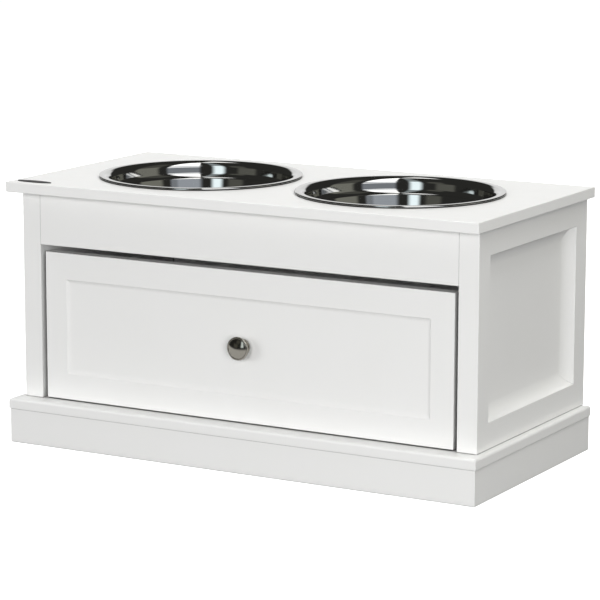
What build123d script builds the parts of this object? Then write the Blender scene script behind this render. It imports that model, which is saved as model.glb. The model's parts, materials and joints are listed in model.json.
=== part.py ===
from build123d import *
import os
from math import asin, cos, radians, sin, sqrt

# Raised pet feeder: a lacquered MDF cabinet on a plinth, with two lift-out steel bowls in its
# top board and one wide drawer on roller slides below them.
# Millimetres. X runs to the right, Y to the back, Z up. The origin is on the floor, under the
# middle of the top board. Paired pieces are drawn on the right (+X) and mirrored to the left.

# ---------------------------------------------------------------- driving dimensions
# Bowls
bowl_mouth_radius = 105.5
bowl_rim_width = 12.5
bowl_rim_height = 2.9
bowl_rim_round = 6.0
bowl_edge_round = 1.5
bowl_sheet = 0.9
bowl_depth = 65.0
bowl_ledge_depth = 17.5
bowl_ledge_width = 4.5
bowl_ledge_fall = 2.0
bowl_ledge_round = 6.0
bowl_ledge_lip_round = 1.4
bowl_upper_taper = 2.0
bowl_lower_taper = 12.0
bowl_floor_round = 18.0
bowl_gap = 24.0
bowl_seat_clearance = 2.6
bowl_end_margin = 52.0
bowl_edge_margin = 32.0

# Cabinet
top_thickness = 12.0
top_side_overhang = 9.0
top_front_overhang = 21.0
side_thickness = 24.0
apron_height = 61.0
apron_thickness = 15.0
back_thickness = 12.0
drawer_opening_height = 180.0
deck_thickness = 12.0
plinth_height = 40.0
plinth_thickness = 15.0
plinth_setback = 1.2
corner_block_width = 25.0
corner_block_floor_gap = 4.0
arris_radius = 0.8
deck_edge_radius = 3.0

# Coved field in each side panel
side_field_border = 29.6
side_field_front_border = 27.0
side_field_depth = 12.0
side_field_lip_angle = 75.0

# Drawer
drawer_side_reveal = 5.2
drawer_top_reveal = 8.0
drawer_bottom_reveal = 1.2
drawer_setback = 2.2
drawer_front_thickness = 15.0
drawer_field_side_border = 28.0
drawer_field_end_border = 30.3
drawer_field_depth = 2.0
drawer_field_lip_angle = 45.0
drawer_board = 12.0
drawer_box_height = 130.0
drawer_rear_gap = 9.0
drawer_bottom_thickness = 5.0
drawer_groove_depth = 6.0
drawer_groove_height = 10.0
groove_clearance = 0.2
drawer_travel = 180.0

# Roller slides
slide_space = 12.7
rail_steel = 1.2
rail_lift = 10.0
rail_track_gap = 1.5
rail_front_gap = 1.0
rail_mouth = 45.0
rail_foot_margin = 1.0
rail_ledge_gap = 1.3
cabinet_roller_radius = 9.0
roller_width = 6.5
roller_round = 0.5
roller_end_float = 0.8
roller_running_gap = 0.3
roller_front_inset = 13.0
roller_rear_inset = 12.0
roller_bore_clearance = 0.05
rivet_radius = 2.0
rivet_head_radius = 3.5
rivet_head_height = 1.0
ledge_headroom = 1.0
drawer_roller_headroom = 0.5
stop_tab_height = 4.0

# Fittings
cam_radius = 7.5
cam_depth = 9.5
cam_setback = 24.0
cam_axis_inset = 6.0
cam_cross_length = 8.0
cam_cross_width = 1.6
cam_cross_depth = 2.0
cam_bolt_radius = 3.5
cam_bolt_thread_radius = 3.0
cam_bolt_thread_length = 8.0
cam_bolt_clearance = 0.2
cam_bolt_reach = 3.0
dowel_radius = 3.0
dowel_length_in = 16.0
dowel_length_out = 8.0
dowel_pitch = 16.5
top_cam_inset = 45.0
top_dowel_inset = 75.0
apron_dowel_inset = 167.0
back_cam_inset = 48.0
back_dowel_inset = 24.0
deck_screw_inset = 40.0
deck_dowel_inset = 65.0
drawer_cam_inset = 28.0
drawer_dowel_inset = 48.0
back_screw_inset = 35.0
rail_screw_inset = 55.0
deck_screw_radius = 2.5
deck_screw_head_radius = 4.5
deck_screw_bite = 27.0
block_screw_bite = 8.0
wood_screw_radius = 1.75
wood_screw_head_radius = 3.5
wood_screw_head_height = 2.5
back_screw_length = 35.0
rail_screw_radius = 1.5
rail_screw_head_radius = 3.2
rail_screw_head_height = 1.0
cabinet_rail_screw_length = 14.0
drawer_rail_screw_length = 9.0

# Knob
knob_radius = 13.3
knob_projection = 13.6
knob_base_radius = 9.0
knob_base_height = 1.5
knob_collar_radius = 7.2
knob_collar_height = 3.2
knob_neck_radius = 5.2
knob_rim_height = 3.0
knob_rim_width = 1.6
knob_groove_depth = 0.4
knob_dome_height = 2.2
knob_screw_radius = 2.0
knob_screw_head_radius = 4.0
knob_screw_head_height = 2.6
knob_screw_grip = 8.0

# Oval plate near the front left corner of the top
plate_length = 45.4
plate_width = 11.0
plate_thickness = 0.8
plate_corner_inset = 30.5
plate_front_inset = 14.5

# ---------------------------------------------------------------- places worked out from them
bowl_rim_radius = bowl_mouth_radius + bowl_rim_width
half_width = 2 * bowl_rim_radius + bowl_gap / 2 + bowl_end_margin
half_depth = bowl_rim_radius + bowl_edge_margin
bowl_offset = bowl_rim_radius + bowl_gap / 2
deck_bottom = plinth_height
deck_top = deck_bottom + deck_thickness
apron_bottom = deck_top + drawer_opening_height
board_bottom = apron_bottom + apron_height
board_top = board_bottom + top_thickness
carcass_half_width = half_width - top_side_overhang
bay_half_width = carcass_half_width - side_thickness
carcass_front = -half_depth + top_front_overhang
carcass_rear = half_depth
apron_rear = carcass_front + apron_thickness
back_front = carcass_rear - back_thickness
plinth_half_width = half_width - plinth_setback
plinth_half_depth = half_depth - plinth_setback
bowl_hole_radius = bowl_mouth_radius + bowl_sheet + bowl_seat_clearance

front_half_width = bay_half_width - drawer_side_reveal
front_bottom = deck_top + drawer_bottom_reveal
front_top = apron_bottom - drawer_top_reveal
front_face = carcass_front + drawer_setback
front_back = front_face + drawer_front_thickness
front_middle = (front_bottom + front_top) / 2
box_outer = bay_half_width - slide_space
box_inner = box_outer - drawer_board
rail_bottom = deck_top + rail_lift
box_bottom = rail_bottom + rail_steel
box_top = box_bottom + drawer_box_height
box_rear = back_front - drawer_rear_gap
box_back_front = box_rear - drawer_board
panel_bottom = box_bottom + drawer_groove_height
panel_top = panel_bottom + drawer_bottom_thickness

track_top = rail_bottom + rail_steel
cabinet_roller_height = track_top + roller_running_gap + cabinet_roller_radius
ledge_bottom = cabinet_roller_height + cabinet_roller_radius + roller_running_gap
ledge_top = ledge_bottom + rail_steel
channel_roof = ledge_top + ledge_headroom
drawer_roller_radius = (channel_roof - track_top - roller_running_gap - drawer_roller_headroom) / 2
drawer_roller_height = track_top + roller_running_gap + drawer_roller_radius
rail_top = channel_roof + rail_steel
rail_front = front_back + rail_front_gap
rail_rear = box_rear + rail_front_gap
cabinet_web_face = bay_half_width - rail_steel
drawer_web_face = box_outer + rail_steel
cabinet_roller_y = rail_front + roller_front_inset
drawer_roller_y = box_rear - roller_rear_inset
ledge_rear = drawer_roller_y - drawer_roller_radius - rail_ledge_gap


# ---------------------------------------------------------------- shapes used again and again
def block(x_low, x_high, y_low, y_high, z_low, z_high):
    """A rectangular board between six planes."""
    size = (x_high - x_low, y_high - y_low, z_high - z_low)
    return Pos(x_low, y_low, z_low) * Box(*size, align=(Align.MIN, Align.MIN, Align.MIN))


def softened_board(*planes, radius=arris_radius):
    """A board with all its arrises eased for the lacquer."""
    board = block(*planes)
    return fillet(board.edges(), radius)


def mirrored(shape):
    """The same piece on the other side of the cabinet."""
    return mirror(shape, about=Plane.YZ)


def both_sides(shapes):
    """Pieces on the right, followed by their mirror images on the left."""
    return shapes + [mirrored(shape) for shape in shapes]


def cut(board, cutters):
    """The board with each cutter taken out of it."""
    for cutter in cutters:
        board = board - cutter
    return board


def peg(frame, radius, low, high):
    """A round bar along the frame's Z, between two distances from its origin."""
    base = Pos(0, 0, low) * Cylinder(radius, high - low, align=(Align.CENTER, Align.CENTER, Align.MIN))
    return frame.location * base


def cove_section(half_length, depth, lip_angle):
    """Half-open section of a sunk field: a flat floor with a concave cove up to each lip."""
    radius = depth / (1 - cos(radians(lip_angle)))
    foot = half_length - radius * sin(radians(lip_angle))

    def on_cove(angle):
        return foot + radius * sin(radians(angle)), radius * (1 - cos(radians(angle))) - depth

    middle = on_cove(lip_angle / 2)
    outline = [
        Line((-foot, -depth), (foot, -depth)),
        ThreePointArc((foot, -depth), middle, (half_length, 0)),
        Line((half_length, 0), (half_length, depth)),
        Line((half_length, depth), (-half_length, depth)),
        Line((-half_length, depth), (-half_length, 0)),
        ThreePointArc((-half_length, 0), (-middle[0], middle[1]), (-foot, -depth)),
    ]
    return make_face(outline)


def coved_field(face, length, height, depth, lip_angle):
    """Cutter for a rectangular field with mitred coves, sunk in from a face plane."""
    across = Plane(face.origin, x_dir=face.x_dir, z_dir=-face.y_dir)
    along = Plane(face.origin, x_dir=face.y_dir, z_dir=face.x_dir)
    long_bar = extrude(across * cove_section(length / 2, depth, lip_angle), height, both=True)
    tall_bar = extrude(along * cove_section(height / 2, depth, lip_angle), length, both=True)
    return long_bar & tall_bar


# ---------------------------------------------------------------- fittings
# A fitting's frame sits on the joint between two boards. Its Z runs into the board that
# receives it, and its X points out of the face that the cam is turned from.
def joint_frame(point, into, cam_face):
    return Plane(point, x_dir=cam_face, z_dir=into)


def cam_seat(frame):
    """The blind round seat of a cam, in the board it locks."""
    turned = Plane((frame * Pos(cam_axis_inset, 0, -cam_setback)).position, z_dir=frame.x_dir)
    return peg(turned, cam_radius, -cam_depth, 0)


def cam_disc(frame):
    """A cam with a cross slot in its face and a passage for the bolt's head."""
    turned = Plane(
        (frame * Pos(cam_axis_inset, 0, -cam_setback)).position, x_dir=frame.z_dir, z_dir=frame.x_dir
    )
    slot = Pos(0, 0, -cam_cross_depth / 2) * Box(cam_cross_length, cam_cross_width, cam_cross_depth)
    cross = turned.location * (slot + Rot(Z=90) * slot)
    passage = peg(frame, cam_bolt_radius + cam_bolt_clearance, -cam_setback - cam_bolt_reach, 0)
    return cam_seat(frame) - cross - passage


def cam_bolt(frame):
    """A bolt whose threaded end sits in the receiving board and whose shank reaches the cam."""
    shank = peg(frame, cam_bolt_radius, -cam_setback, 0)
    return shank + peg(frame, cam_bolt_thread_radius, 0, cam_bolt_thread_length)


def dowel(frame):
    """A beech dowel across a joint."""
    return peg(frame, dowel_radius, -dowel_length_in, dowel_length_out)


def surface_screw(frame, length):
    """A thin-headed rail screw: the head stands on the surface and the shank goes in."""
    head = peg(frame, rail_screw_head_radius, -rail_screw_head_height, 0)
    return head + peg(frame, rail_screw_radius, 0, length)


def sunk_screw(frame, shank_radius, head_radius, head_height, length):
    """A countersunk screw, its head flush with the surface."""
    head = Cone(head_radius, shank_radius, head_height, align=(Align.CENTER, Align.CENTER, Align.MIN))
    return frame.location * head + peg(frame, shank_radius, head_height, length)


# ---------------------------------------------------------------- where the fittings go
side_middle = bay_half_width + side_thickness / 2
apron_middle = (carcass_front + apron_rear) / 2
apron_centre = (apron_bottom + board_bottom) / 2
back_middle = (back_front + carcass_rear) / 2
back_centre = (deck_top + board_bottom) / 2
box_board_middle = (box_outer + box_inner) / 2
UP, DOWN, RIGHT, LEFT, BACK, FRONT = (0, 0, 1), (0, 0, -1), (1, 0, 0), (-1, 0, 0), (0, 1, 0), (0, -1, 0)

top_cams = [
    joint_frame((bay_half_width + cam_axis_inset, y, board_bottom), UP, LEFT)
    for y in (carcass_front + top_cam_inset, back_front - top_cam_inset)
]
top_dowels = [
    dowel(joint_frame((side_middle, y, board_bottom), UP, LEFT))
    for y in (carcass_front + top_dowel_inset, back_front - top_dowel_inset)
]
apron_cams = [joint_frame((bay_half_width, apron_rear - cam_axis_inset, apron_centre), RIGHT, BACK)]
apron_dowels = [
    dowel(joint_frame((bay_half_width, apron_middle, apron_centre + rise), RIGHT, BACK))
    for rise in (-dowel_pitch, dowel_pitch)
]
apron_top_dowels = [
    dowel(joint_frame((bay_half_width - apron_dowel_inset, apron_middle, board_bottom), UP, BACK))
]
back_cams = [
    joint_frame((bay_half_width, back_front + cam_axis_inset, z), RIGHT, FRONT)
    for z in (deck_top + back_cam_inset, board_bottom - back_cam_inset)
]
back_dowels = [
    dowel(joint_frame((bay_half_width, back_middle, z), RIGHT, FRONT))
    for z in (deck_top + back_dowel_inset, back_centre, board_bottom - back_dowel_inset)
]
deck_dowels = [
    dowel(joint_frame((side_middle, y, deck_top), DOWN, RIGHT))
    for y in (carcass_front + deck_dowel_inset, back_front - deck_dowel_inset)
]
deck_screws = [
    sunk_screw(
        Plane((side_middle, y, deck_bottom), z_dir=UP),
        deck_screw_radius, deck_screw_head_radius, wood_screw_head_height, deck_thickness + deck_screw_bite,
    )
    for y in (
        carcass_front + deck_screw_inset,
        (carcass_front + carcass_rear) / 2,
        carcass_rear - deck_screw_inset,
    )
]
drawer_cams = [
    joint_frame((box_inner + cam_axis_inset, front_back, z), FRONT, LEFT)
    for z in (box_bottom + drawer_cam_inset, box_top - drawer_cam_inset)
]
drawer_dowels = [
    dowel(joint_frame((box_board_middle, front_back, z), FRONT, LEFT))
    for z in (box_bottom + drawer_dowel_inset, box_top - drawer_dowel_inset)
]
drawer_back_screws = [
    sunk_screw(
        Plane((box_outer, box_rear - drawer_board / 2, z), z_dir=LEFT),
        wood_screw_radius, wood_screw_head_radius, wood_screw_head_height, back_screw_length,
    )
    for z in (box_bottom + back_screw_inset, box_top - back_screw_inset)
]
cabinet_rail_screws = [
    surface_screw(Plane((cabinet_web_face, y, (track_top + channel_roof) / 2), z_dir=RIGHT),
                  cabinet_rail_screw_length)
    for y in (rail_front + rail_screw_inset, rail_rear - rail_screw_inset)
]
drawer_rail_screws = [
    surface_screw(Plane((box_board_middle, y, rail_bottom), z_dir=UP), drawer_rail_screw_length)
    for y in (front_back + rail_screw_inset, box_rear - rail_screw_inset)
]


# ---------------------------------------------------------------- cabinet boards
def make_top_board():
    board = softened_board(-half_width, half_width, -half_depth, half_depth, board_bottom, board_top)
    seats = [
        Pos(x, 0, (board_bottom + board_top) / 2) * Cylinder(bowl_hole_radius, 2 * top_thickness)
        for x in (-bowl_offset, bowl_offset)
    ]
    fasteners = [cam_bolt(frame) for frame in top_cams] + top_dowels + apron_top_dowels
    return cut(board, seats + both_sides(fasteners))


def make_side_panel():
    """The right side panel, coved on its outer face and bored for its neighbours."""
    board = softened_board(
        bay_half_width, carcass_half_width, carcass_front, carcass_rear, deck_top, board_bottom
    )
    field_front = carcass_front + side_field_front_border
    field_rear = carcass_rear - side_field_border
    field_bottom = deck_top + side_field_border
    field_top = board_bottom - side_field_border
    face = Plane(
        (carcass_half_width, (field_front + field_rear) / 2, (field_bottom + field_top) / 2),
        x_dir=BACK, z_dir=RIGHT,
    )
    field = coved_field(
        face, field_rear - field_front, field_top - field_bottom, side_field_depth, side_field_lip_angle
    )
    bolts = [cam_bolt(frame) for frame in top_cams + apron_cams + back_cams]
    seats = [cam_seat(frame) for frame in top_cams]
    pegs = top_dowels + apron_dowels + back_dowels + deck_dowels + deck_screws + cabinet_rail_screws
    return cut(board, [field] + bolts + seats + pegs)


def make_apron():
    board = softened_board(
        -bay_half_width, bay_half_width, carcass_front, apron_rear, apron_bottom, board_bottom
    )
    cutters = [cam_seat(frame) for frame in apron_cams] + [cam_bolt(frame) for frame in apron_cams]
    return cut(board, both_sides(cutters + apron_dowels + apron_top_dowels))


def make_back_panel():
    board = softened_board(
        -bay_half_width, bay_half_width, back_front, carcass_rear, deck_top, board_bottom
    )
    cutters = [cam_seat(frame) for frame in back_cams] + [cam_bolt(frame) for frame in back_cams]
    return cut(board, both_sides(cutters + back_dowels))


def make_deck_board():
    """The capping board of the plinth, rounded along its upper edges and eased along its lower ones."""
    board = block(-half_width, half_width, -half_depth, half_depth, deck_bottom, deck_top)
    board = fillet(board.faces().sort_by(Axis.Z)[-1].edges(), deck_edge_radius)
    board = fillet(board.faces().sort_by(Axis.Z)[0].edges(), arris_radius)
    return cut(board, both_sides(deck_dowels + deck_screws + right_block_screws))


def make_plinth_board(along_x):
    """One board of the plinth ring, with mitred ends and eased outer arrises: the front or the right one."""
    reach = plinth_half_width if along_x else plinth_half_depth
    stand = plinth_half_depth if along_x else plinth_half_width
    outline = Polyline(
        (-reach, -stand),
        (reach, -stand),
        (reach - plinth_thickness, -stand + plinth_thickness),
        (-reach + plinth_thickness, -stand + plinth_thickness),
        close=True,
    )
    board = extrude(make_face(outline), plinth_height)
    outer_face = board.faces().sort_by(Axis.Y)[0]
    board = fillet(outer_face.edges().filter_by(Axis.X), arris_radius)
    return board if along_x else Rot(Z=90) * board


block_middle_x = plinth_half_width - plinth_thickness - corner_block_width / 2
block_middle_y = plinth_half_depth - plinth_thickness - corner_block_width / 2


def make_corner_block(x, y):
    """A glue block in a corner of the plinth, under the capping board."""
    reach = corner_block_width / 2
    board = block(x - reach, x + reach, y - reach, y + reach, corner_block_floor_gap, deck_bottom)
    return board - block_screw(x, y)


def block_screw(x, y):
    return sunk_screw(
        Plane((x, y, corner_block_floor_gap), z_dir=UP),
        wood_screw_radius,
        wood_screw_head_radius,
        wood_screw_head_height,
        deck_bottom - corner_block_floor_gap + block_screw_bite,
    )


right_block_screws = [block_screw(block_middle_x, y) for y in (-block_middle_y, block_middle_y)]


def make_oval_plate():
    """A plain oval plate, laid on the top board by its front left corner."""
    x = -half_width + plate_corner_inset
    y = -half_depth + plate_front_inset
    plate = Pos(x, y, board_top) * extrude(Ellipse(plate_length / 2, plate_width / 2), plate_thickness)
    return plate


# ---------------------------------------------------------------- bowls
def make_bowl():
    """A pressed bowl: flat rim with a turned-down edge, a short wall, a ledge and a deep body."""
    ledge_outer = bowl_mouth_radius - bowl_upper_taper
    ledge_inner = ledge_outer - bowl_ledge_width
    inside = FilletPolyline(
        (0, -bowl_depth),
        (ledge_inner - bowl_lower_taper, -bowl_depth),
        (ledge_inner, -bowl_ledge_depth - bowl_ledge_fall),
        (ledge_outer, -bowl_ledge_depth),
        (bowl_mouth_radius, 0),
        (bowl_rim_radius, 0),
        (bowl_rim_radius, -bowl_rim_height),
        radius=[bowl_floor_round, bowl_ledge_lip_round, bowl_ledge_round, bowl_rim_round, bowl_edge_round],
    )
    section = make_face(Wire(inside.edges()).offset_2d(bowl_sheet, side=Side.RIGHT, closed=True))
    return Pos(0, 0, board_top + bowl_rim_height) * revolve(Plane.XZ * section, Axis.Z)


# ---------------------------------------------------------------- drawer
def make_drawer_front():
    board = softened_board(
        -front_half_width, front_half_width, front_face, front_back, front_bottom, front_top
    )
    face = Plane((0, front_face, front_middle), x_dir=RIGHT, z_dir=FRONT)
    field = coved_field(
        face,
        2 * (front_half_width - drawer_field_side_border),
        front_top - front_bottom - 2 * drawer_field_end_border,
        drawer_field_depth,
        drawer_field_lip_angle,
    )
    bolts = both_sides([cam_bolt(frame) for frame in drawer_cams] + drawer_dowels)
    return cut(board, [field, bottom_groove(), make_knob_screw()] + bolts)


def bottom_groove():
    """The groove that runs round the drawer's boards and holds its bottom."""
    return block(
        -box_inner - drawer_groove_depth,
        box_inner + drawer_groove_depth,
        front_back - drawer_groove_depth,
        box_back_front + drawer_groove_depth,
        panel_bottom,
        panel_top + groove_clearance,
    )


def make_drawer_side():
    """The right side of the drawer box."""
    board = softened_board(box_inner, box_outer, front_back, box_rear, box_bottom, box_top)
    seats = [cam_seat(frame) for frame in drawer_cams] + [cam_bolt(frame) for frame in drawer_cams]
    screws = drawer_back_screws + drawer_rail_screws
    return cut(board, [bottom_groove()] + seats + drawer_dowels + screws)


def make_drawer_back():
    board = softened_board(-box_inner, box_inner, box_back_front, box_rear, box_bottom, box_top)
    return cut(board, [bottom_groove()] + both_sides(drawer_back_screws))


def make_drawer_bottom():
    reach = drawer_groove_depth - groove_clearance
    return block(
        -box_inner - reach, box_inner + reach, front_back - reach, box_back_front + reach,
        panel_bottom, panel_top,
    )


# ---------------------------------------------------------------- roller slides, right side
roller_start = rail_steel + roller_end_float
roller_end = roller_start + roller_width
cabinet_axle = Plane((bay_half_width, cabinet_roller_y, cabinet_roller_height), z_dir=LEFT)
drawer_axle = Plane((box_outer, drawer_roller_y, drawer_roller_height), z_dir=RIGHT)


def make_rivet(frame):
    """The pin that a roller turns on, flush in the rail and headed beyond the roller."""
    head_base = roller_end + roller_running_gap
    head = peg(frame, rivet_head_radius, head_base, head_base + rivet_head_height)
    return peg(frame, rivet_radius, 0, head_base) + head


def make_roller(frame, radius):
    """A nylon roller with eased edges, bored for its rivet."""
    wheel = peg(frame, radius, roller_start, roller_end)
    wheel = fillet(wheel.edges(), roller_round)
    return wheel - peg(frame, rivet_radius + roller_bore_clearance, 0, roller_end + roller_width)


def make_cabinet_rail():
    """The channel on the side panel: floor, web, part-length roof, and the tab that stops the drawer."""
    inner = drawer_web_face + rail_track_gap
    web = block(cabinet_web_face, bay_half_width, rail_front, rail_rear, rail_bottom, rail_top)
    floor = block(inner, bay_half_width, rail_front, rail_rear, rail_bottom, track_top)
    roof = block(inner, bay_half_width, rail_front + rail_mouth, rail_rear, channel_roof, rail_top)
    drop = drawer_roller_radius + roller_running_gap - stop_tab_height
    reach = sqrt(drawer_roller_radius ** 2 - drop ** 2) + roller_running_gap
    stop_face = drawer_roller_y - drawer_travel - reach
    tab = block(
        inner, cabinet_web_face, stop_face - rail_steel, stop_face, track_top, track_top + stop_tab_height
    )
    return cut(web + floor + roof + tab, cabinet_rail_screws + [make_rivet(cabinet_axle)])


def make_drawer_rail():
    """The drawer's rail: a foot under the side board, a web, and the ledge that rides the front roller."""
    foot = block(
        box_inner + rail_foot_margin, drawer_web_face, front_back, box_rear, rail_bottom, box_bottom
    )
    web = block(box_outer, drawer_web_face, front_back, box_rear, rail_bottom, ledge_top)
    ledge = block(
        box_outer, cabinet_web_face - rail_ledge_gap, front_back, ledge_rear, ledge_bottom, ledge_top
    )
    return cut(foot + web + ledge, drawer_rail_screws + [make_rivet(drawer_axle)])


# ---------------------------------------------------------------- knob
knob_seat = Plane((0, front_face + drawer_field_depth, front_middle), z_dir=FRONT)


def make_knob():
    """A turned knob: stepped foot, thin neck, flared head, and a grooved rim round a domed face."""
    rim_base = knob_projection - knob_rim_height
    rim_inner = knob_radius - knob_rim_width
    boss_radius = rim_inner - 2 * knob_groove_depth
    flare_reach = (knob_radius - knob_neck_radius) * cos(radians(45))
    flare_rise = (rim_base - knob_collar_height) * sin(radians(45))
    dome_radius = (boss_radius ** 2 + knob_dome_height ** 2) / (2 * knob_dome_height)
    dome_half_angle = asin(boss_radius / dome_radius)
    dome_centre = knob_projection + knob_dome_height - dome_radius
    section = make_face([
        *Polyline(
            (0, knob_projection + knob_dome_height),
            (0, 0),
            (knob_base_radius, 0),
            (knob_base_radius, knob_base_height),
            (knob_collar_radius, knob_base_height),
            (knob_collar_radius, knob_collar_height),
            (knob_neck_radius, knob_collar_height),
        ).edges(),
        ThreePointArc(
            (knob_neck_radius, knob_collar_height),
            (knob_radius - flare_reach, knob_collar_height + flare_rise),
            (knob_radius, rim_base),
        ),
        ThreePointArc(
            (knob_radius, rim_base),
            (
                knob_radius - knob_rim_width * (1 - cos(radians(45))),
                rim_base + knob_rim_height * sin(radians(45)),
            ),
            (rim_inner, knob_projection),
        ),
        *Polyline(
            (rim_inner, knob_projection),
            (rim_inner - knob_groove_depth, knob_projection - knob_groove_depth),
            (boss_radius, knob_projection),
        ).edges(),
        ThreePointArc(
            (boss_radius, knob_projection),
            (dome_radius * sin(dome_half_angle / 2), dome_centre + dome_radius * cos(dome_half_angle / 2)),
            (0, knob_projection + knob_dome_height),
        ),
    ])
    turned = knob_seat.location * revolve(Plane.XZ * section, Axis.Z)
    return turned - make_knob_screw()


def make_knob_screw():
    """The machine screw that holds the knob, its pan head inside the drawer."""
    frame = Plane((0, front_back, front_middle), z_dir=FRONT)
    shank_length = drawer_front_thickness - drawer_field_depth + knob_screw_grip
    head = peg(frame, knob_screw_head_radius, -knob_screw_head_height, 0)
    return head + peg(frame, knob_screw_radius, 0, shank_length)


# ---------------------------------------------------------------- every piece by name
def all_nodes():
    """Each node's name and its solids."""
    cabinet_cams = top_cams + apron_cams + back_cams
    nodes = {
        "top_board": [make_top_board()],
        "front_apron": [make_apron()],
        "back_panel": [make_back_panel()],
        "deck_board": [make_deck_board()],
        "front_plinth_board": [make_plinth_board(True)],
        "rear_plinth_board": [mirror(make_plinth_board(True), about=Plane.XZ)],
        "oval_plate": [make_oval_plate()],
        "drawer_front": [make_drawer_front()],
        "drawer_back": [make_drawer_back()],
        "drawer_bottom": [make_drawer_bottom()],
        "knob": [make_knob()],
        "knob_screw": [make_knob_screw()],
        "cabinet_cam_discs": both_sides([cam_disc(frame) for frame in cabinet_cams]),
        "cabinet_cam_bolts": both_sides([cam_bolt(frame) for frame in cabinet_cams]),
        "cabinet_dowels": both_sides(
            top_dowels + apron_dowels + apron_top_dowels + back_dowels + deck_dowels
        ),
        "deck_screws": both_sides(deck_screws),
        "plinth_screws": both_sides(right_block_screws),
        "cabinet_rail_screws": both_sides(cabinet_rail_screws),
        "cabinet_rail_rivets": both_sides([make_rivet(cabinet_axle)]),
        "drawer_cam_discs": both_sides([cam_disc(frame) for frame in drawer_cams]),
        "drawer_cam_bolts": both_sides([cam_bolt(frame) for frame in drawer_cams]),
        "drawer_dowels": both_sides(drawer_dowels),
        "drawer_back_screws": both_sides(drawer_back_screws),
        "drawer_rail_screws": both_sides(drawer_rail_screws),
        "drawer_rail_rivets": both_sides([make_rivet(drawer_axle)]),
    }
    right_hand = {
        "side_panel": make_side_panel(),
        "plinth_board": make_plinth_board(False),
        "front_corner_block": make_corner_block(block_middle_x, -block_middle_y),
        "rear_corner_block": make_corner_block(block_middle_x, block_middle_y),
        "drawer_side": make_drawer_side(),
        "cabinet_rail": make_cabinet_rail(),
        "drawer_rail": make_drawer_rail(),
        "cabinet_roller": make_roller(cabinet_axle, cabinet_roller_radius),
        "drawer_roller": make_roller(drawer_axle, drawer_roller_radius),
        "bowl": Pos(bowl_offset, 0, 0) * make_bowl(),
    }
    for name, solid in right_hand.items():
        nodes[f"right_{name}"] = [solid]
        nodes[f"left_{name}"] = [mirrored(solid)]
    return nodes


os.makedirs("parts", exist_ok=True)
for node_name, solids in all_nodes().items():
    shape = solids[0] if len(solids) == 1 else Compound(solids)
    export_step(shape, f"parts/{node_name}.step")
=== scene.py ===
"""Looks of a raised pet feeder: a white lacquered cabinet with two steel bowls and one drawer."""

import json
import logging
import math
from dataclasses import dataclass, field
from enum import Enum
from typing import Any

import bmesh
import bpy
from mathutils import Matrix, Quaternion, Vector


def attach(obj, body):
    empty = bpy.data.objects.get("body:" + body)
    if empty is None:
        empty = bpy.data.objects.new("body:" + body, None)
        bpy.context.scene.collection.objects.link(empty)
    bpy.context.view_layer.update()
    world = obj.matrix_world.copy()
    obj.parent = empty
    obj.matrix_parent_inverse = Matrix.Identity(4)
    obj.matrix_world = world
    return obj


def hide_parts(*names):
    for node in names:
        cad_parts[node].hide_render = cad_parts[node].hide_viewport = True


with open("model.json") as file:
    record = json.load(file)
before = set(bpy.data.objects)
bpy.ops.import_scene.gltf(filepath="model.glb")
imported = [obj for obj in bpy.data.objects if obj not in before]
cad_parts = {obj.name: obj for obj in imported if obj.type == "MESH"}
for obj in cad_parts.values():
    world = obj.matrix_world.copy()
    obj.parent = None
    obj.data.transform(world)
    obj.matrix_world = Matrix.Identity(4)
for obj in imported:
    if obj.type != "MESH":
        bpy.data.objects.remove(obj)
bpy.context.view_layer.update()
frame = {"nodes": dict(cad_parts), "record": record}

MM = 0.001
MERGE_MM = 0.001  # vertices of a turned skin that lie this close are one
FULL_TURN = 2 * math.pi

log = logging.getLogger("feeder")

Socket = bpy.types.NodeSocket
Tree = bpy.types.NodeTree


# ------------------------------------------------------------------ colour and nodes
def linear(hex_colour: str) -> tuple[float, float, float, float]:
    """Turn an sRGB hex colour into linear red, green, blue and alpha.

    Args:
        hex_colour: Six hex digits with a leading hash, such as "#EDEDEB".

    Returns:
        The linear colour that a shader socket takes.
    """
    channels = [int(hex_colour[i:i + 2], 16) / 255 for i in (1, 3, 5)]
    red, green, blue = [c / 12.92 if c <= 0.04045 else ((c + 0.055) / 1.055) ** 2.4 for c in channels]
    return red, green, blue, 1.0


def add_node(
    tree: Tree,
    kind: str,
    inputs: dict[str | int, Any] | None = None,
    **settings: Any,
) -> bpy.types.Node:
    """Add a node, set its properties and fill or link its inputs.

    Args:
        tree: The node tree that gets the node.
        kind: The node's class name, such as "ShaderNodeTexNoise".
        inputs: Socket names or numbers with a value, or with an output socket to link from.
        settings: Properties of the node itself.

    Returns:
        The new node.
    """
    node = tree.nodes.new(kind)
    for name, value in settings.items():
        setattr(node, name, value)
    for socket, value in (inputs or {}).items():
        if isinstance(value, Socket):
            tree.links.new(value, node.inputs[socket])
        else:
            node.inputs[socket].default_value = value
    return node


# ------------------------------------------------------------------ finishes
class Slot(Enum):
    """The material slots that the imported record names."""

    LACQUER = "white_lacquer"
    LAMINATE = "white_laminate"
    PINE = "pine_block"
    BEECH = "beech_dowel"
    RAIL = "epoxy_coated_rail"
    NYLON = "nylon_roller"
    STEEL = "polished_stainless"
    NICKEL = "nickel_knob"
    PLATE = "brushed_plate"
    ZINC = "zinc_fitting"


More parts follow.
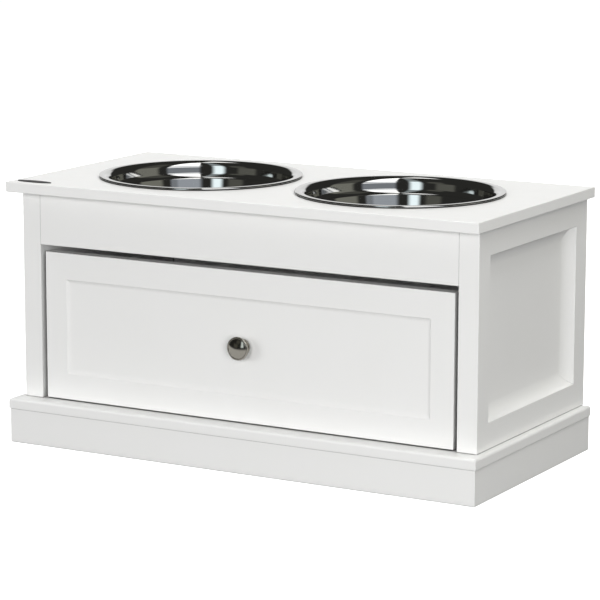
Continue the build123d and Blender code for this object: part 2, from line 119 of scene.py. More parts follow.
@dataclass(frozen=True)
class Finish:
    """What every finish shares: a surface colour, a roughness and a fine relief.

    Each subclass adds its own pattern in its dress method.
    """

    name: str
    colour: str
    roughness: float
    metallic: float = 0.0

    def material(self, suffix: str = "") -> bpy.types.Material:
        """Build the finish as a new material.

        Args:
            suffix: Added to the name where one finish is centred on different pieces.

        Returns:
            The material, with its nodes in place.
        """
        made = bpy.data.materials.new(self.name + suffix)
        made.use_nodes = True
        made.diffuse_color = linear(self.colour)
        tree = made.node_tree
        shader = tree.nodes["Principled BSDF"]
        shader.inputs["Base Color"].default_value = linear(self.colour)
        shader.inputs["Roughness"].default_value = self.roughness
        shader.inputs["Metallic"].default_value = self.metallic
        self.dress(tree, shader)
        return made

    def dress(self, tree: Tree, shader: bpy.types.Node) -> None:
        """Add the finish's own pattern. The plain finish has none."""

    def place(self, tree: Tree, scale: tuple[float, float, float] = (1.0, 1.0, 1.0)) -> Socket:
        """Give the piece's own coordinates in metres, stretched along its axes.

        Args:
            tree: The material's node tree.
            scale: How much each axis is multiplied by; a small number draws the pattern out.

        Returns:
            The socket that a texture takes its vector from.
        """
        source = add_node(tree, "ShaderNodeTexCoord").outputs["Object"]
        return add_node(tree, "ShaderNodeMapping", {"Vector": source, "Scale": scale}).outputs["Vector"]

    def noise(self, tree: Tree, vector: Socket, size_mm: float, detail: float = 2.0) -> Socket:
        """Give a noise whose blots are about a given size.

        Args:
            tree: The material's node tree.
            vector: Where the noise is read, in metres.
            size_mm: Width of one blot in millimetres.
            detail: How many finer layers lie on it.

        Returns:
            The noise as a number around one half.
        """
        inputs = {"Vector": vector, "Scale": 1 / (size_mm * MM), "Detail": detail}
        return add_node(tree, "ShaderNodeTexNoise", inputs).outputs["Fac"]

    def blend(self, tree: Tree, factor: Socket, low: Any, high: Any) -> Socket:
        """Map a number around one half onto a range of numbers or colours.

        Args:
            tree: The material's node tree.
            factor: The number that chooses between the two ends.
            low: A number, or a hex colour, at the low end.
            high: The same at the high end.

        Returns:
            The mapped number or colour.
        """
        if isinstance(low, str):
            ends = {0: factor, 6: linear(low), 7: linear(high)}
            return add_node(tree, "ShaderNodeMix", ends, data_type="RGBA").outputs[2]
        inputs = {"Value": factor, "From Min": 0.25, "From Max": 0.75, "To Min": low, "To Max": high}
        return add_node(tree, "ShaderNodeMapRange", inputs).outputs["Result"]

    def vary_polish(
        self, tree: Tree, shader: bpy.types.Node, factor: Socket, below: float, above: float
    ) -> None:
        """Let the roughness drift with a pattern.

        Args:
            tree: The material's node tree.
            shader: The surface shader that gets the roughness.
            factor: The pattern, a number around one half.
            below: How far the roughness falls under the finish's own.
            above: How far it rises over it.
        """
        polish = self.blend(tree, factor, self.roughness - below, self.roughness + above)
        tree.links.new(polish, shader.inputs["Roughness"])

    def relief(
        self, tree: Tree, shader: bpy.types.Node, height: Socket, depth_mm: float, strength: float
    ) -> None:
        """Press a height pattern into the surface.

        Args:
            tree: The material's node tree.
            shader: The surface shader that gets the relief.
            height: The pattern, from 0 to 1.
            depth_mm: Depth of the pattern in millimetres.
            strength: How much of that depth the light sees.
        """
        inputs = {"Height": height, "Distance": depth_mm * MM, "Strength": strength}
        bump = add_node(tree, "ShaderNodeBump", inputs)
        tree.links.new(bump.outputs["Normal"], shader.inputs["Normal"])


@dataclass(frozen=True)
class SatinLacquer(Finish):
    """Sprayed polyurethane lacquer on fibreboard.

    It gives the eye an even, almost neutral white with a wide soft sheen and the fine dimples of a
    sprayed coat. Shade is painted into the white in the creases where boards meet and in the
    narrow openings between them.
    """

    name: str = "satin_polyurethane_lacquer"
    colour: str = "#F0F0EF"
    roughness: float = 0.36
    cloud_colour: str = "#EEEEEC"
    cloud_size_mm: float = 90.0
    dimple_size_mm: float = 1.6
    dimple_depth_mm: float = 0.03
    dimple_strength: float = 0.35
    gloss_patch_mm: float = 15.0
    roughness_spread: float = 0.05
    # Painted shade: how far ambient occlusion reaches, the openness at which the shade is full and none, and
    # how much white is left, first for creases and then for wider openings.
    crease_shade_reach_mm: float = 1.6
    crease_shade_openness: tuple[float, float] = (0.2, 0.85)
    crease_shade_level: float = 0.3
    gap_shade_reach_mm: float = 12.0
    gap_shade_openness: tuple[float, float] = (0.15, 0.5)
    gap_shade_level: float = 0.4
    shade_samples: int = 6

    def dress(self, tree: Tree, shader: bpy.types.Node) -> None:
        """Add the spray dimples, the slow drift of the white, an uneven gloss and painted shade in creases
        and openings.
        """
        where = self.place(tree)
        cloud = self.noise(tree, where, self.cloud_size_mm)
        white = self.blend(tree, cloud, self.colour, self.cloud_colour)
        # Painted shade: ambient occlusion darkens the white in creases and in wider openings and corners.
        crease_shade = self.shade(tree, self.crease_shade_reach_mm, self.crease_shade_openness, self.crease_shade_level)
        gap_shade = self.shade(tree, self.gap_shade_reach_mm, self.gap_shade_openness, self.gap_shade_level)
        both = add_node(tree, "ShaderNodeMath", {0: crease_shade, 1: gap_shade}, operation="MULTIPLY").outputs["Value"]
        shaded = add_node(tree, "ShaderNodeVectorMath", {0: white, 1: both}, operation="MULTIPLY")
        tree.links.new(shaded.outputs["Vector"], shader.inputs["Base Color"])
        gloss = self.noise(tree, where, self.gloss_patch_mm)
        self.vary_polish(tree, shader, gloss, self.roughness_spread, self.roughness_spread)
        dimples = self.noise(tree, where, self.dimple_size_mm, detail=1.0)
        self.relief(tree, shader, dimples, self.dimple_depth_mm, self.dimple_strength)

    def shade(self, tree: Tree, reach_mm: float, openness: tuple[float, float], level: float) -> Socket:
        """Give a number that paints shade into the colour where neighbours shut a surface in.

        Args:
            tree: The material's node tree.
            reach_mm: How near a neighbour has to be.
            openness: The share of open surroundings at which the shade is full, and none.
            level: What is left of the colour in full shade.

        Returns:
            The number to multiply the colour by.
        """
        full, none = openness
        seen = add_node(
            tree, "ShaderNodeAmbientOcclusion", {"Distance": reach_mm * MM}, samples=self.shade_samples
        )
        return add_node(
            tree, "ShaderNodeMapRange",
            {"Value": seen.outputs["AO"], "From Min": full, "From Max": none, "To Min": level, "To Max": 1.0},
        ).outputs["Result"]


@dataclass(frozen=True)
class TurnedMetal(Finish):
    """Metal finished on a lathe or a polishing wheel.

    It gives the eye sharp reflections that fine marks draw out very slightly round the axis.
    """

    centre: tuple[float, float, float] = (0.0, 0.0, 0.0)
    axis_along_y: bool = False
    mark_spacing_mm: float = 1.2  # real polishing marks are about 0.1; drawn coarser so that they show
    mark_depth_mm: float = 0.002
    mark_strength: float = 0.2
    marks_per_radian: float = 3.0
    roughness_spread: float = 0.02
    tint: str = "#C8C8C6"

    def dress(self, tree: Tree, shader: bpy.types.Node) -> None:
        """Lay marks round the axis and let the polish vary with them."""
        source = add_node(tree, "ShaderNodeTexCoord").outputs["Object"]
        turn = (math.pi / 2, 0.0, 0.0) if self.axis_along_y else (0.0, 0.0, 0.0)
        shifted = add_node(
            tree, "ShaderNodeMapping", {"Vector": source, "Location": self.centre_offset()}
        ).outputs["Vector"]
        turned = add_node(tree, "ShaderNodeMapping", {"Vector": shifted, "Rotation": turn}).outputs["Vector"]
        parts = add_node(tree, "ShaderNodeSeparateXYZ", {"Vector": turned})
        flat = add_node(tree, "ShaderNodeCombineXYZ", {"X": parts.outputs["X"], "Y": parts.outputs["Y"]})
        radius = add_node(tree, "ShaderNodeVectorMath", {0: flat.outputs["Vector"]}, operation="LENGTH")
        angle = add_node(
            tree, "ShaderNodeMath", {0: parts.outputs["Y"], 1: parts.outputs["X"]}, operation="ARCTAN2"
        )
        slow_angle = add_node(
            tree, "ShaderNodeMath",
            {0: angle.outputs["Value"], 1: self.mark_spacing_mm * MM * self.marks_per_radian},
            operation="MULTIPLY",
        )
        around = add_node(
            tree, "ShaderNodeCombineXYZ",
            {"X": radius.outputs["Value"], "Y": slow_angle.outputs["Value"], "Z": parts.outputs["Z"]},
        ).outputs["Vector"]
        marks = self.noise(tree, around, self.mark_spacing_mm, detail=3.0)
        self.vary_polish(tree, shader, marks, self.roughness_spread, self.roughness_spread)
        tree.links.new(self.blend(tree, marks, self.colour, self.tint), shader.inputs["Base Color"])
        self.relief(tree, shader, marks, self.mark_depth_mm, self.mark_strength)

    def centre_offset(self) -> tuple[float, float, float]:
        """Give the shift that brings the axis to the pattern's origin."""
        x, y, z = self.centre
        return -x, -y, -z


@dataclass(frozen=True)
class BrushedPlate(Finish):
    """Sheet aluminium brushed lengthways and then dyed black.

    It gives the eye a dark, dull sheen with hair-fine lines along X.
    """

    name: str = "black_anodised_aluminium"
    colour: str = "#3F3F3E"
    roughness: float = 0.42
    metallic: float = 1.0
    line_width_mm: float = 0.25  # real brush lines are about 0.05; drawn coarser so that they show
    line_stretch: float = 0.01
    line_depth_mm: float = 0.004
    line_strength: float = 0.4
    roughness_spread: float = 0.08

    def dress(self, tree: Tree, shader: bpy.types.Node) -> None:
        """Draw the brush lines and vary the gloss along them."""
        where = self.place(tree, (self.line_stretch, 1.0, 1.0))
        lines = self.noise(tree, where, self.line_width_mm, detail=4.0)
        self.vary_polish(tree, shader, lines, self.roughness_spread, self.roughness_spread)
        self.relief(tree, shader, lines, self.line_depth_mm, self.line_strength)


@dataclass(frozen=True)
class SprayedCoat(Finish):
    """Epoxy powder, melamine or moulded nylon.

    It gives the eye an even colour and a highlight that a fine pebbled skin breaks up.
    """

    pebble_size_mm: float = 0.9
    pebble_depth_mm: float = 0.01
    pebble_strength: float = 0.4
    shade: str = "#E4E4E1"
    shade_size_mm: float = 25.0

    def dress(self, tree: Tree, shader: bpy.types.Node) -> None:
        """Add the pebbled skin and a slow change of shade."""
        where = self.place(tree)
        slow = self.noise(tree, where, self.shade_size_mm)
        tree.links.new(self.blend(tree, slow, self.colour, self.shade), shader.inputs["Base Color"])
        pebbles = self.noise(tree, where, self.pebble_size_mm, detail=1.0)
        self.relief(tree, shader, pebbles, self.pebble_depth_mm, self.pebble_strength)


@dataclass(frozen=True)
class RawWood(Finish):
    """Sawn or turned wood without a finish.

    It gives the eye dull bands of lighter and darker wood, drawn out along the grain.
    """

    ring_colour: str = "#B98F5C"
    grain_axis: int = 2
    ring_width_mm: float = 3.0
    fibre_width_mm: float = 0.5
    fibre_depth_mm: float = 0.05
    fibre_strength: float = 0.5
    grain_stretch: float = 0.06

    def dress(self, tree: Tree, shader: bpy.types.Node) -> None:
        """Draw the rings and the fibres along the grain."""
        scale = [1.0, 1.0, 1.0]
        scale[self.grain_axis] = self.grain_stretch
        where = self.place(tree, tuple(scale))
        rings = self.noise(tree, where, self.ring_width_mm, detail=3.0)
        tree.links.new(self.blend(tree, rings, self.colour, self.ring_colour), shader.inputs["Base Color"])
        fibres = self.noise(tree, where, self.fibre_width_mm)
        self.relief(tree, shader, fibres, self.fibre_depth_mm, self.fibre_strength)


@dataclass(frozen=True)
class ZincPlate(Finish):
    """Bright zinc plating on small hardware.

    It gives the eye a bluish metal with cloudy patches of duller polish.
    """

    name: str = "bright_zinc_plate"
    colour: str = "#BFC3C7"
    roughness: float = 0.33
    metallic: float = 1.0
    cloud: str = "#A9ADB2"
    cloud_size_mm: float = 1.5
    brighter: float = 0.07
    duller: float = 0.1

    def dress(self, tree: Tree, shader: bpy.types.Node) -> None:
        """Cloud the plating and vary its polish."""
        clouds = self.noise(tree, self.place(tree), self.cloud_size_mm)
        tree.links.new(self.blend(tree, clouds, self.colour, self.cloud), shader.inputs["Base Color"])
        self.vary_polish(tree, shader, clouds, self.brighter, self.duller)


# ------------------------------------------------------------------ mesh making
@dataclass(frozen=True)
class Corner:
    """One corner of a turned profile.

    Radius and height are in millimetres from the axis and along it. Rounding is the radius of the
    arc that replaces the corner, and segments is the number of edges in that arc.
    """

    radius: float
    height: float
    rounding: float = 0.0
    segments: int = 6


def round_corner(
    mesh: bmesh.types.BMesh, corner: bmesh.types.BMVert, rounding: float, segments: int
) -> None:
    """Turn one corner of a wire into an arc.

    Args:
        mesh: The mesh that holds the wire.
        corner: The vertex between the wire's two straight runs.
        rounding: Radius of the arc in metres.
        segments: Number of edges in the arc.
    """
    before, after = [edge.other_vert(corner).co - corner.co for edge in corner.link_edges]
    turn = math.pi - before.angle(after)
    bmesh.ops.bevel(
        mesh, geom=[corner], offset=rounding * math.tan(turn / 2), offset_type="OFFSET",
        segments=segments, profile=0.5, affect="VERTICES", material=-1,
    )


def turned_mesh(corners: list[Corner], steps: int, upward: bool) -> bmesh.types.BMesh:
    """Spin a profile about Z into a closed-pole skin.

    Args:
        corners: The profile, from the axis outwards.
        steps: Number of steps in the full turn.
        upward: True if the face at the pole looks up, False if it looks down.

    Returns:
        The skin, with its normals set.
    """
    mesh = bmesh.new()
    verts = [mesh.verts.new((c.radius * MM, 0.0, c.height * MM)) for c in corners]
    for first, second in zip(verts, verts[1:]):
        mesh.edges.new((first, second))
    for vert, corner in zip(verts, corners):
        if corner.rounding > 0:
            round_corner(mesh, vert, corner.rounding * MM, corner.segments)
    bmesh.ops.spin(
        mesh, geom=mesh.verts[:] + mesh.edges[:], cent=(0, 0, 0), axis=(0, 0, 1), angle=FULL_TURN,
        steps=steps, use_merge=True, use_duplicate=False,
    )
    bmesh.ops.remove_doubles(mesh, verts=mesh.verts, dist=MERGE_MM * MM)
    bmesh.ops.recalc_face_normals(mesh, faces=mesh.faces)
    pole = min(mesh.faces, key=lambda face: face.calc_center_median().xy.length)
    if (pole.normal.z > 0) != upward:
        bmesh.ops.reverse_faces(mesh, faces=mesh.faces)
    return mesh


def finished_piece(
    name: str, mesh: bmesh.types.BMesh, material: bpy.types.Material, smooth_angle: float
) -> bpy.types.Object:
    """Turn a bmesh into an object at the origin with its finish and shading.

    Args:
        name: Name of the new piece.
        mesh: The shape, already in its place. It is freed.
        material: The piece's finish.
        smooth_angle: Edges sharper than this many degrees keep a crisp line.

    Returns:
        The new object, linked to the scene.
    """
    for edge in mesh.edges:
        if len(edge.link_faces) == 2:
            edge.smooth = edge.calc_face_angle() < math.radians(smooth_angle)
    for face in mesh.faces:
        face.smooth = True
    data = bpy.data.meshes.new(name)
    mesh.to_mesh(data)
    mesh.free()
    data.materials.append(material)
    piece = bpy.data.objects.new(name, data)
    bpy.context.scene.collection.objects.link(piece)
    log.info("%s: %d faces", name, len(data.polygons))
    return piece


# ------------------------------------------------------------------ sub-assemblies
@dataclass
class Bowls:
    """The two pressed steel bowls that hang by their rims in the top board."""

    offset_mm: float = 130.0
    rim_top_mm: float = 307.9
    sheet_mm: float = 0.9
    steps: int = 128
    smooth_angle: float = 40.0
    profile: list[Corner] = field(default_factory=lambda: [
        Corner(0.0, -65.0),
        Corner(87.0, -65.0, 18.0, 14),
        Corner(99.0, -19.5, 1.4, 4),
        Corner(103.5, -17.5, 7.2, 12),
        Corner(105.5, 0.0, 8.5, 20),
        Corner(118.0, 0.0, 1.4, 8),
        Corner(118.0, -1.5, 0.6, 4),
        Corner(115.2, -2.85),
    ])

    def build(self) -> None:
        """Make both bowls and seat each on its own body."""
        for side, sign in (("left", -1), ("right", 1)):
            self.bowl(side, sign * self.offset_mm)

    def bowl(self, side: str, x_mm: float) -> bpy.types.Object:
        """Make one bowl from its inner profile, thickened outwards.

        Args:
            side: "left" or "right".
            x_mm: Where the bowl's axis stands.

        Returns:
            The finished bowl.
        """
        mesh = turned_mesh(self.profile, self.steps, upward=True)
        place = Matrix.Translation((x_mm * MM, 0.0, self.rim_top_mm * MM))
        bmesh.ops.transform(mesh, matrix=place, verts=mesh.verts)
        finish = TurnedMetal(
            name="mirror_polished_stainless_steel", colour="#CFCFCD", tint="#C9C9C7", roughness=0.045,
            metallic=1.0, centre=(x_mm * MM, 0.0, 0.0), roughness_spread=0.008,
        )
        material = finish.material(f"_{side}")
        piece = finished_piece(f"{side}_bowl_shell", mesh, material, self.smooth_angle)
        wall = piece.modifiers.new("sheet", "SOLIDIFY")
        wall.thickness = self.sheet_mm * MM
        wall.offset = -1.0
        wall.use_even_offset = True
        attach(piece, f"{side}_bowl")
        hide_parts(f"{side}_bowl")
        return piece


@dataclass
class Knob:
    """The turned metal knob in the middle of the drawer front."""

    seat_y_mm: float = -124.8
    height_mm: float = 138.6
    steps: int = 96
    smooth_angle: float = 35.0
    profile: list[Corner] = field(default_factory=lambda: [
        Corner(0.0, 15.8),
        Corner(5.8, 15.8, 21.2, 18),
        Corner(10.9, 12.9, 0.2, 2),
        Corner(11.3, 12.6, 0.15, 2),
        Corner(11.7, 13.0, 0.3, 3),
        Corner(13.3, 13.0, 1.4, 8),
        Corner(13.3, 10.4, 0.6, 3),
        Corner(5.2, 10.4, 6.4, 12),
        Corner(5.2, 3.2, 0.4, 3),
        Corner(7.2, 3.2, 0.5, 4),
        Corner(7.2, 1.5, 0.3, 3),
        Corner(9.0, 1.5, 0.5, 4),
        Corner(9.0, 0.0),
        Corner(0.0, 0.0),
    ])

    def build(self) -> bpy.types.Object:
        """Turn the knob, lay its axis along -Y and seat it on the drawer.

        Returns:
            The finished knob.
        """
        mesh = turned_mesh(self.profile, self.steps, upward=True)
        place = Matrix.Translation((0.0, self.seat_y_mm * MM, self.height_mm * MM))
        bmesh.ops.transform(mesh, matrix=place @ Matrix.Rotation(math.pi / 2, 4, "X"), verts=mesh.verts)
        finish = TurnedMetal(
            name="polished_nickel_plate", colour="#A8A49B", tint="#A19D94", roughness=0.12, metallic=1.0,
            centre=(0.0, self.seat_y_mm * MM, self.height_mm * MM), axis_along_y=True,
            mark_spacing_mm=0.5, mark_strength=0.15, roughness_spread=0.03,
        )
        piece = finished_piece("drawer_knob_turned", mesh, finish.material(), self.smooth_angle)
        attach(piece, "drawer")
        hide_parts("knob")
        return piece


@dataclass
class OvalPlate:
    """The small blank oval plate near the front left corner of the top."""

    length_mm: float = 45.4
    width_mm: float = 11.0
    thickness_mm: float = 0.8
    centre_mm: tuple[float, float, float] = (-269.5, -135.5, 305.0)
    border_mm: float = 0.7
    border_rise_mm: float = 0.15
    edge_round_mm: float = 0.25
    edge_segments: int = 3
    segments: int = 96
    smooth_angle: float = 30.0

    def build(self) -> bpy.types.Object:
        """Cut the oval, sink its middle inside a thin border and ease the edges.

        Returns:
            The finished plate.
        """
        mesh = bmesh.new()
        bmesh.ops.create_circle(mesh, cap_ends=True, segments=self.segments, radius=1.0)
        stretch = Vector((self.length_mm / 2 * MM, self.width_mm / 2 * MM, 1.0))
        bmesh.ops.scale(mesh, vec=stretch, verts=mesh.verts)
        raised = bmesh.ops.extrude_face_region(mesh, geom=mesh.faces[:])
        top_verts = [item for item in raised["geom"] if isinstance(item, bmesh.types.BMVert)]
        bmesh.ops.translate(mesh, vec=(0, 0, self.thickness_mm * MM), verts=top_verts)
        bmesh.ops.recalc_face_normals(mesh, faces=mesh.faces)
        top = max(mesh.faces, key=lambda face: face.calc_center_median().z)
        rim = list(top.edges)
        bmesh.ops.inset_individual(mesh, faces=[top], thickness=self.border_mm * MM, use_even_offset=True)
        bmesh.ops.inset_individual(
            mesh, faces=[top], thickness=self.border_rise_mm * MM, depth=-self.border_rise_mm * MM,
            use_even_offset=True,
        )
        bmesh.ops.bevel(
            mesh, geom=rim, offset=self.edge_round_mm * MM, offset_type="OFFSET",
            segments=self.edge_segments, profile=0.5, affect="EDGES", material=-1,
        )
        place = Matrix.Translation(Vector(self.centre_mm) * MM)
        bmesh.ops.transform(mesh, matrix=place, verts=mesh.verts)
        piece = finished_piece("oval_plate_blank", mesh, BrushedPlate().material(), self.smooth_angle)
        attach(piece, "cabinet")
        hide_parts("oval_plate")
        return piece


@dataclass
class Carcass:
    """Every board, rail and fitting that keeps its solid from the frame and only gets its finish."""

    finishes: dict[Slot, Finish] = field(default_factory=lambda: {
        Slot.LACQUER: SatinLacquer(),
        Slot.LAMINATE: SprayedCoat(
            name="matt_melamine_laminate", colour="#ECECEA", shade="#E6E6E3", roughness=0.55,
            pebble_size_mm=0.6,
        ),
        Slot.PINE: RawWood(name="sawn_pine", colour="#D9B98A", ring_colour="#BC8F58", roughness=0.75),
        Slot.BEECH: RawWood(
            name="turned_beech", colour="#D3AE84", ring_colour="#BE9266", roughness=0.6, ring_width_mm=1.0
        ),
        Slot.RAIL: SprayedCoat(name="white_epoxy_powder_coat", colour="#E9E9E6", roughness=0.42),
        Slot.NYLON: SprayedCoat(
            name="natural_nylon", colour="#E6E5DE", shade="#DEDDD5", roughness=0.38, pebble_size_mm=0.5
        ),
        Slot.STEEL: TurnedMetal(
            name="polished_stainless_steel", colour="#CFCFCD", roughness=0.08, metallic=1.0
        ),
        Slot.NICKEL: TurnedMetal(name="nickel_plate", colour="#B9B6B0", roughness=0.2, metallic=1.0),
        Slot.PLATE: BrushedPlate(),
        Slot.ZINC: ZincPlate(),
    })

    def dress(self) -> None:
        """Give each node of the frame the finish that its slot in the record names."""
        made = {slot: finish.material() for slot, finish in self.finishes.items()}
        for row in frame["record"]["subparts"]:
            slots = frame["nodes"][row["node"]].data.materials
            slots.clear()
            slots.append(made[Slot(row["material_slot"])])
            log.info("%s: %s", row["node"], made[Slot(row["material_slot"])].name)


# ------------------------------------------------------------------ studio
@dataclass(frozen=True)
class Softbox:
    """A soft light panel that glossy surfaces mirror, seen from the object.

    Angles are in degrees. Bearing turns from straight ahead of the front towards the right; low
    and high are heights above the floor's horizon; edge is half the width of the soft border.
    """

    bearing: float
    half_width: float
    low: float
    high: float
    level: float
    edge: float = 2.0
    tint: str = "#FFFFFF"


@dataclass(frozen=True)
class Lamp:
    """A rectangular soft light that faces the object.

    Width, height and distance are in metres, and its angles are given as a softbox's are.
    """

    name: str
    bearing: float
    elevation: float
    width: float
    height: float
    watts: float
    distance: float = 3.0
    tint: str = "#FFFFFF"


@dataclass
class Studio:
    """Camera, floor and soft light.

    The lamps light the lacquer, and the softboxes are what the metal mirrors. Each is hidden from
    the other's surfaces, so the white boards and the bowls can be lit separately.
    """

    lens_mm: float = 167.63
    sensor_mm: float = 36.0
    bearing: float = 29.515
    elevation: float = 10.65
    roll: float = 0.098
    distance_mm: float = 3195.1
    target_mm: tuple[float, float, float] = (2.0, 0.0, 171.4)
    lamp_target_mm: tuple[float, float, float] = (0.0, 0.0, 170.0)
    # Painted glow of the floor: faint to bounced light, and to mirrors bright near the object and fading out
    # further in front.
    floor_glow: float = 0.02
    mirrored_floor: float = 0.75
    mirrored_dark: float = 0.06
    mirrored_glow_fade_m: tuple[float, float] = (0.5, 1.1)
    paper_colour: str = "#F4F4F3"
    floor_half_m: float = 12.0
    sight_m: float = 50.0
    room_colour: str = "#323230"
    lamps: list[Lamp] = field(default_factory=lambda: [
        Lamp("front", bearing=6.0, elevation=13.0, width=0.8, height=0.8, watts=26.0),
        Lamp("front_right", bearing=40.0, elevation=8.0, width=1.5, height=1.2, watts=45.5),
        Lamp("front_left", bearing=-40.0, elevation=8.0, width=1.5, height=1.2, watts=22.0),
        Lamp("right", bearing=108.0, elevation=35.0, width=1.7, height=1.5, watts=17.8, tint="#FFFEF4"),
        Lamp("ceiling_left", bearing=-90.0, elevation=62.0, width=1.7, height=1.5, watts=36.0),
        Lamp("ceiling_right", bearing=70.0, elevation=62.0, width=1.7, height=1.5, watts=15.0),
        Lamp("ceiling_back", bearing=150.0, elevation=62.0, width=1.7, height=1.5, watts=35.0),
        Lamp("back", bearing=222.0, elevation=10.0, width=1.5, height=1.2, watts=24.0),
    ])
    softboxes: list[Softbox] = field(default_factory=lambda: [
        Softbox(bearing=54.5, half_width=21.5, low=32.0, high=95.0, level=2.2, edge=2.5),
        Softbox(bearing=240.0, half_width=17.0, low=66.0, high=95.0, level=2.0, edge=3.0),
        Softbox(bearing=54.5, half_width=21.5, low=12.0, high=22.5, level=1.3, edge=1.5),
        Softbox(bearing=54.5, half_width=21.5, low=-10.0, high=32.0, level=0.3, edge=3.0, tint="#E6EEFA"),
        Softbox(bearing=48.0, half_width=18.0, low=22.5, high=32.0, level=0.22, edge=3.0, tint="#E6EEFA"),
        Softbox(bearing=8.0, half_width=7.0, low=-5.0, high=34.0, level=1.7, edge=4.0, tint="#E4F1F6"),
        Softbox(bearing=8.0, half_width=8.0, low=34.0, high=86.0, level=0.38, edge=4.0, tint="#E4F1F6"),
        Softbox(bearing=107.0, half_width=18.0, low=-6.0, high=28.0, level=0.23, edge=4.0, tint="#F2F2E2"),
        Softbox(bearing=107.0, half_width=18.0, low=28.0, high=62.0, level=0.06, edge=4.0, tint="#F2F2E2"),
        Softbox(bearing=-31.0, half_width=13.0, low=-6.0, high=15.0, level=0.11, edge=4.0, tint="#F2F2E2"),
        Softbox(bearing=-20.0, half_width=11.0, low=18.0, high=36.0, level=0.09, edge=4.0, tint="#F2F2E2"),
        Softbox(bearing=209.5, half_width=18.0, low=0.0, high=21.0, level=0.85, edge=4.0),
    ])

    def build(self) -> None:
        """Set up the whole studio."""
        self.camera()
        self.surroundings()
        self.floor()
        for lamp in self.lamps:
            self.hang(lamp)
        bpy.context.scene.view_settings.view_transform = "Standard"

    @staticmethod
    def towards(bearing: float, elevation: float) -> Vector:
        """Give the unit vector that points from the object to a bearing and elevation in degrees."""
        turn, rise = math.radians(bearing), math.radians(elevation)
        return Vector((math.sin(turn) * math.cos(rise), -math.cos(turn) * math.cos(rise), math.sin(rise)))

    def camera(self) -> None:
        """Place the camera and make it the scene's own."""
        data = bpy.data.cameras.new("camera")
        data.sensor_width = self.sensor_mm
        data.lens = self.lens_mm
        data.clip_end = self.sight_m
        eye_ray = self.towards(self.bearing, self.elevation)
        level_turn = (-eye_ray).to_track_quat("-Z", "Y")
        tilt = Quaternion((0.0, 0.0, 1.0), math.radians(self.roll))
        camera = bpy.data.objects.new("camera", data)
        camera.location = Vector(self.target_mm) * MM + eye_ray * self.distance_mm * MM
        camera.rotation_euler = (level_turn @ tilt).to_euler()
        bpy.context.scene.collection.objects.link(camera)
        bpy.context.scene.camera = camera

    def hang(self, lamp: Lamp) -> None:
        """Hang one rectangular soft light. Mirrors see the painted softboxes instead of it."""
        data = bpy.data.lights.new(lamp.name, "AREA")
        data.shape = "RECTANGLE"
        data.size = lamp.width
        data.size_y = lamp.height
        data.energy = lamp.watts
        data.color = linear(lamp.tint)[:3]
        ray = self.towards(lamp.bearing, lamp.elevation)
        panel = bpy.data.objects.new(lamp.name, data)
        panel.location = Vector(self.lamp_target_mm) * MM + ray * lamp.distance
        panel.rotation_euler = ray.to_track_quat("Z", "Y").to_euler()
        panel.visible_glossy = False
        panel.visible_camera = False
        bpy.context.scene.collection.objects.link(panel)

    def floor(self) -> None:
        """Lay a plain white floor that meets the white surroundings without a line.

        Mirrors see a painted glow in its place, as bright as lit paper near the object and fading out a
        step in front of it. What bounces off it onto the object is a faint painted glow too.
        """
        mesh = bmesh.new()
        bmesh.ops.create_grid(mesh, x_segments=1, y_segments=1, size=self.floor_half_m)
        made = bpy.data.materials.new("white_paper_floor")
        made.use_nodes = True
        tree = made.node_tree
        tree.nodes.clear()
        paper = add_node(tree, "ShaderNodeBsdfDiffuse", {"Color": linear(self.paper_colour)})
        lift = add_node(tree, "ShaderNodeEmission", {"Color": linear("#FFFFFF"), "Strength": 1.0})
        lit = add_node(tree, "ShaderNodeAddShader", {0: paper.outputs[0], 1: lift.outputs[0]})
        path = add_node(tree, "ShaderNodeLightPath")
        spot = add_node(tree, "ShaderNodeTexCoord").outputs["Object"]
        ahead = add_node(tree, "ShaderNodeSeparateXYZ", {"Vector": spot}).outputs["Y"]
        near, far = self.mirrored_glow_fade_m
        mirrored_glow = add_node(
            tree, "ShaderNodeMapRange",
            {
                "Value": ahead, "From Min": -near, "From Max": -far,
                "To Min": self.mirrored_floor, "To Max": self.mirrored_dark,
            },
        ).outputs["Result"]
        # Painted glow: mirrors and bounced light see the floor as emission, not as lit paper.
        level = add_node(
            tree, "ShaderNodeMapRange",
            {"Value": path.outputs["Is Glossy Ray"], "To Min": self.floor_glow, "To Max": mirrored_glow},
        )
        glow = add_node(tree, "ShaderNodeEmission", {"Strength": level.outputs["Result"]})
        seen = add_node(
            tree, "ShaderNodeMixShader",
            {0: path.outputs["Is Camera Ray"], 1: glow.outputs[0], 2: lit.outputs[0]},
        )
        add_node(tree, "ShaderNodeOutputMaterial", {"Surface": seen.outputs[0]})
        data = bpy.data.meshes.new("floor")
        mesh.to_mesh(data)
        mesh.free()
        data.materials.append(made)
        floor = bpy.data.objects.new("floor", data)
        bpy.context.scene.collection.objects.link(floor)

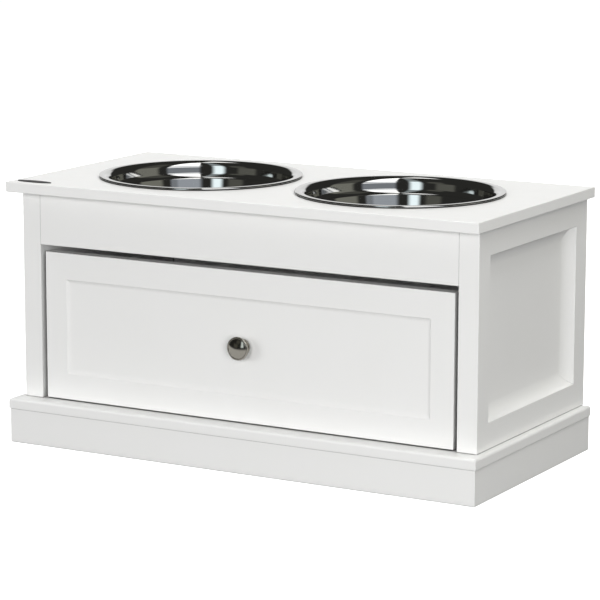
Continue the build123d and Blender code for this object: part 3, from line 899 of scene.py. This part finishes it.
    def surroundings(self) -> None:
        """Paint the room: white to the eye, with softboxes for what is mirrored."""
        world = bpy.data.worlds.new("studio")
        world.use_nodes = True
        bpy.context.scene.world = world
        tree = world.node_tree
        tree.nodes.clear()
        ray = add_node(tree, "ShaderNodeTexCoord").outputs["Generated"]
        parts = add_node(tree, "ShaderNodeSeparateXYZ", {"Vector": ray})
        flat = add_node(tree, "ShaderNodeCombineXYZ", {"X": parts.outputs["X"], "Y": parts.outputs["Y"]})
        heading = add_node(tree, "ShaderNodeVectorMath", {0: flat.outputs["Vector"]}, operation="NORMALIZE")
        rise = add_node(tree, "ShaderNodeMath", {0: parts.outputs["Z"]}, operation="ARCSINE").outputs["Value"]
        colour: Any = linear(self.room_colour)[:3]
        for box in self.softboxes:
            colour = self.add_softbox(tree, heading.outputs["Vector"], rise, box, colour)
        mirrored = add_node(tree, "ShaderNodeBackground", {"Color": colour, "Strength": 1.0})
        white = add_node(tree, "ShaderNodeBackground", {"Color": linear("#FFFFFF"), "Strength": 1.0})
        dark = add_node(tree, "ShaderNodeBackground", {"Strength": 0.0})
        path = add_node(tree, "ShaderNodeLightPath")
        lit = add_node(
            tree, "ShaderNodeMixShader",
            {0: path.outputs["Is Glossy Ray"], 1: dark.outputs[0], 2: mirrored.outputs[0]},
        )
        seen = add_node(
            tree, "ShaderNodeMixShader",
            {0: path.outputs["Is Camera Ray"], 1: lit.outputs[0], 2: white.outputs[0]},
        )
        add_node(tree, "ShaderNodeOutputWorld", {"Surface": seen.outputs[0]})

    def add_softbox(self, tree: Tree, heading: Socket, rise: Socket, box: Softbox, below: Any) -> Socket:
        """Add one softbox to the colour that a mirror sees.

        Args:
            tree: The world's node tree.
            heading: The ray's direction along the floor.
            rise: The ray's angle above the floor.
            box: The softbox to add.
            below: Colour so far: the dark room's, or a socket.

        Returns:
            The colour with the softbox in it.
        """
        centre = self.towards(box.bearing, 0.0)
        closeness = add_node(tree, "ShaderNodeVectorMath", {0: heading, 1: centre}, operation="DOT_PRODUCT")
        away = add_node(
            tree, "ShaderNodeMath", {0: closeness.outputs["Value"]}, operation="ARCCOSINE"
        ).outputs["Value"]
        edges = [
            (away, box.half_width + box.edge, box.half_width - box.edge),
            (rise, box.low - box.edge, box.low + box.edge),
            (rise, box.high + box.edge, box.high - box.edge),
        ]
        inside = [
            add_node(
                tree, "ShaderNodeMapRange",
                {"Value": angle, "From Min": math.radians(outer), "From Max": math.radians(inner)},
                interpolation_type="SMOOTHSTEP",
            ).outputs["Result"]
            for angle, outer, inner in edges
        ]
        both = add_node(tree, "ShaderNodeMath", {0: inside[0], 1: inside[1]}, operation="MULTIPLY")
        mask = add_node(
            tree, "ShaderNodeMath", {0: both.outputs["Value"], 1: inside[2]}, operation="MULTIPLY"
        )
        light = [channel * box.level for channel in linear(box.tint)[:3]]
        added = add_node(
            tree, "ShaderNodeVectorMath", {0: mask.outputs["Value"], 1: light, 2: below},
            operation="MULTIPLY_ADD",
        )
        return added.outputs["Vector"]


def main() -> None:
    """Build the scene."""
    logging.basicConfig(level=logging.INFO, format="%(name)s: %(message)s")
    Carcass().dress()
    Bowls().build()
    Knob().build()
    OvalPlate().build()
    Studio().build()


if __name__ == "__main__":
    main()
